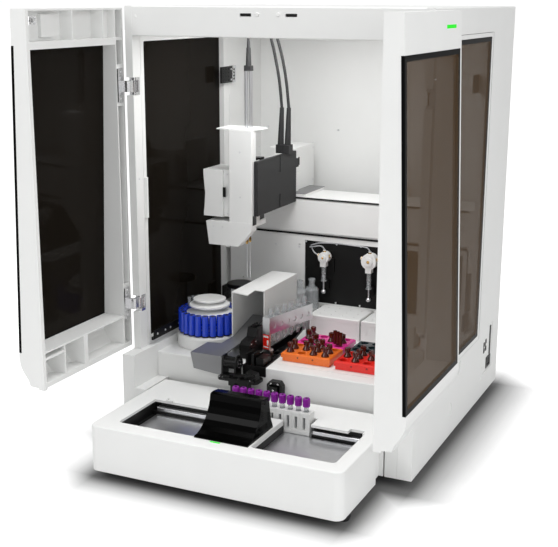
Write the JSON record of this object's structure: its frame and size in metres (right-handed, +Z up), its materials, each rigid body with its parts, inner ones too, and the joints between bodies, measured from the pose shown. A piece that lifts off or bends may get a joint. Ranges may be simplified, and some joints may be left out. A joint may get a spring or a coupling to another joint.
{
  "type": "bench-top automated sample analyser",
  "caption": "White bench-top sample-processing cabinet with open glazed doors, a three-axis probe gantry, a tube carousel, reagent racks and a front loading bay.",
  "frame": {"origin": "centre of the bounding box at bench level, the feet's underside", "axes": "+X to the viewer's right along the front, +Y to the back, +Z up"},
  "size_m": [0.907, 1.051, 1.046],
  "materials": {
    "white_paint": "fine satin powder coat",
    "white_plastic": "fine matt moulded plastic",
    "black_paint": "satin black",
    "black_plastic": "matt black moulding",
    "gloss_black": "smoked glossy black",
    "rubber_black": "matt rubber",
    "smoked_glass": "brown smoked glass with black border",
    "dark_glass": "near-black glass",
    "steel": "brushed stainless steel",
    "chrome": "bright hinge metal",
    "grey_metal": "grey coated sheet",
    "blue_plastic": "blue moulded plastic",
    "orange_plastic": "orange moulded plastic",
    "magenta_plastic": "magenta moulded plastic",
    "red_plastic": "red moulded plastic",
    "teal_plastic": "very dark teal moulded plastic",
    "purple_plastic": "purple caps",
    "amber_glass": "amber glass",
    "clear_glass": "clear vessel",
    "grey_tube": "translucent grey tubing",
    "charcoal": "charcoal satin moulding"
  },
  "bodies": {
    "cabinet": {"side_frame_right": "white_paint", "side_frame_left": "white_paint", "base_chassis": "white_paint", "rear_panel": "white_paint", "top_cover": "white_paint", "feet": "rubber_black", "hinge_mounts": "chrome", "io_panel": "black_plastic", "tray_housing": "white_plastic", "tray_pans": "black_plastic", "tray_plates": "steel", "tray_hood": "gloss_black", "work_deck": "white_paint", "conveyor_channel": "black_plastic", "measuring_cover": "white_paint", "cuvette_chute": "grey_metal", "sampler_bridge": "black_plastic", "carousel_base": "white_plastic", "tube_strip_rack": "steel", "clear_vessels": "clear_glass", "cooler_boxes": "white_plastic", "gantry_beam": "white_paint", "inner_panel": "white_paint", "pump_panel": "black_paint", "pump_valves": "white_plastic", "pump_tubing": "grey_tube"},
    "left_door": {"left_door_frame": "white_plastic", "left_door_pane": "dark_glass", "left_door_hinges": "chrome"},
    "right_door": {"right_door_frame": "white_plastic", "right_door_pane": "smoked_glass", "right_door_hinges": "chrome"},
    "left_side_door_leaf": {"left_side_door": "white_paint", "left_side_pane": "dark_glass"},
    "right_side_door_leaf": {"right_side_door": "white_paint", "right_side_pane": "smoked_glass"},
    "carousel": {"carousel_holders": "blue_plastic", "carousel_hub": "white_plastic"},
    "sampler_drum": {"sampler_wheel": "black_plastic"},
    "mixer": {"mixer_disc": "black_plastic"},
    "tube_rack": {"sample_rack": "white_plastic", "sample_tubes": "clear_glass", "tube_caps": "purple_plastic"},
    "gantry_carriage": {"carriage": "white_paint", "arm_cover": "charcoal", "arm_cables": "rubber_black"},
    "head": {"head_housing": "white_plastic", "head_slide": "black_plastic"},
    "probe": {"probe_rods": "steel", "probe_boot": "rubber_black"},
    "syringe_left": {"plunger_left": "steel"},
    "syringe_right": {"plunger_right": "steel"},
    "rack_orange": {"orange_rack": "orange_plastic", "orange_vials": "amber_glass"},
    "rack_magenta": {"magenta_rack": "magenta_plastic", "magenta_vials": "amber_glass"},
    "rack_red": {"red_rack": "red_plastic", "red_vials": "amber_glass"},
    "rack_dark": {"dark_rack": "teal_plastic"},
    "power_rocker": {"power_switch": "black_plastic"}
  },
  "joints": [
    {"name": "left_door", "type": "hinge", "parent": "cabinet", "child": "left_door", "pos_m": [-0.3695, -0.1575, 0.6], "axis": [0, 0, 1], "range_deg": [-15, 90]},
    {"name": "right_door", "type": "hinge", "parent": "cabinet", "child": "right_door", "pos_m": [0.3695, -0.1575, 0.6], "axis": [0, 0, 1], "range_deg": [-90, 15]},
    {"name": "left_side_door", "type": "hinge", "parent": "cabinet", "child": "left_side_door_leaf", "pos_m": [-0.372, 0.3115, 0.6], "axis": [0, 0, 1], "range_deg": [-100, 0]},
    {"name": "right_side_door", "type": "hinge", "parent": "cabinet", "child": "right_side_door_leaf", "pos_m": [0.372, 0.3115, 0.6], "axis": [0, 0, 1], "range_deg": [0, 100]},
    {"name": "carriage_x", "type": "slide", "parent": "cabinet", "child": "gantry_carriage", "axis": [1, 0, 0], "range_m": [-0.035, 0.44]},
    {"name": "head_y", "type": "slide", "parent": "gantry_carriage", "child": "head", "axis": [0, 1, 0], "range_m": [0, 0.08]},
    {"name": "probe_z", "type": "slide", "parent": "head", "child": "probe", "axis": [0, 0, -1], "range_m": [-0.03, 0.14]},
    {"name": "carousel_spin", "type": "hinge", "parent": "cabinet", "child": "carousel", "pos_m": [-0.257, 0.0055, 0.26], "axis": [0, 0, 1], "continuous": true},
    {"name": "sampler_spin", "type": "hinge", "parent": "cabinet", "child": "sampler_drum", "pos_m": [-0.12, -0.1345, 0.199], "axis": [1, 0, 0], "continuous": true},
    {"name": "mixer_spin", "type": "hinge", "parent": "cabinet", "child": "mixer", "pos_m": [-0.278, 0.2205, 0.295], "axis": [0, 0, 1], "continuous": true},
    {"name": "rack_feed", "type": "slide", "parent": "cabinet", "child": "tube_rack", "axis": [1, 0, 0], "range_m": [-0.03, 0]},
    {"name": "plunger_left", "type": "slide", "parent": "cabinet", "child": "syringe_left", "axis": [0, 0, 1], "range_m": [-0.012, 0.022]},
    {"name": "plunger_right", "type": "slide", "parent": "cabinet", "child": "syringe_right", "axis": [0, 0, 1], "range_m": [-0.012, 0.022]},
    {"name": "orange_rack_lift", "type": "slide", "parent": "cabinet", "child": "rack_orange", "axis": [0, 0, 1], "range_m": [0, 0.09]},
    {"name": "magenta_rack_lift", "type": "slide", "parent": "cabinet", "child": "rack_magenta", "axis": [0, 0, 1], "range_m": [0, 0.09]},
    {"name": "red_rack_lift", "type": "slide", "parent": "cabinet", "child": "rack_red", "axis": [0, 0, 1], "range_m": [0, 0.09]},
    {"name": "dark_rack_lift", "type": "slide", "parent": "cabinet", "child": "rack_dark", "axis": [0, 0, 1], "range_m": [0, 0.09]},
    {"name": "power_rocker", "type": "hinge", "parent": "cabinet", "child": "power_rocker", "pos_m": [0.3725, 0.4265, 0.105], "axis": [0, 0, 1], "range_deg": [-6, 6]}
  ]
}
